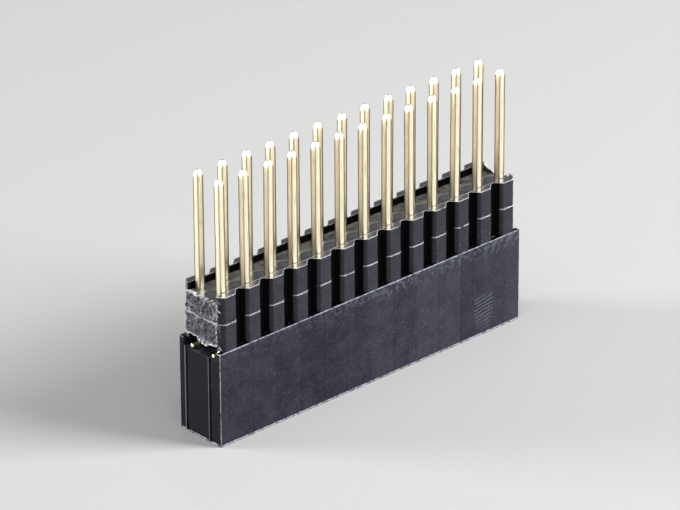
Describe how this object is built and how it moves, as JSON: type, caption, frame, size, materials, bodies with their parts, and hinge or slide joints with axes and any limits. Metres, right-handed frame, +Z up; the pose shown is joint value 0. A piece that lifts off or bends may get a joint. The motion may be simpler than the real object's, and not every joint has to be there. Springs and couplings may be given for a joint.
{
  "type": "female pin header strip",
  "caption": "Double-row stacking header: moulded socket housing, long square gold tails and two stacked breakaway insulators, torn at one end.",
  "frame": {"origin": "middle of the base, which is the open face of the socket housing", "axes": "+X along the rows of contacts, +Y from the front row to the back row, +Z up along the tails"},
  "size_m": [0.033, 0.005, 0.0229],
  "materials": {
    "housing_plastic": "moulded, satin, with faint sink marks and fine scratches",
    "insulator_plastic": "moulded, satin, rough and paler on the torn end",
    "contact_gold": "gold flash plating, drawn, satin"
  },
  "bodies": {
    "root": {"socket_housing": "housing_plastic", "lower_insulator": "insulator_plastic", "upper_insulator": "insulator_plastic", "contact_front_01": "contact_gold", "contact_front_02": "contact_gold", "contact_front_03": "contact_gold", "contact_front_04": "contact_gold", "contact_front_05": "contact_gold", "contact_front_06": "contact_gold", "contact_front_07": "contact_gold", "contact_front_08": "contact_gold", "contact_front_09": "contact_gold", "contact_front_10": "contact_gold", "contact_front_11": "contact_gold", "contact_front_12": "contact_gold", "contact_front_13": "contact_gold", "contact_back_01": "contact_gold", "contact_back_02": "contact_gold", "contact_back_03": "contact_gold", "contact_back_04": "contact_gold", "contact_back_05": "contact_gold", "contact_back_06": "contact_gold", "contact_back_07": "contact_gold", "contact_back_08": "contact_gold", "contact_back_09": "contact_gold", "contact_back_10": "contact_gold", "contact_back_11": "contact_gold", "contact_back_12": "contact_gold", "contact_back_13": "contact_gold"}
  },
  "joints": []
}
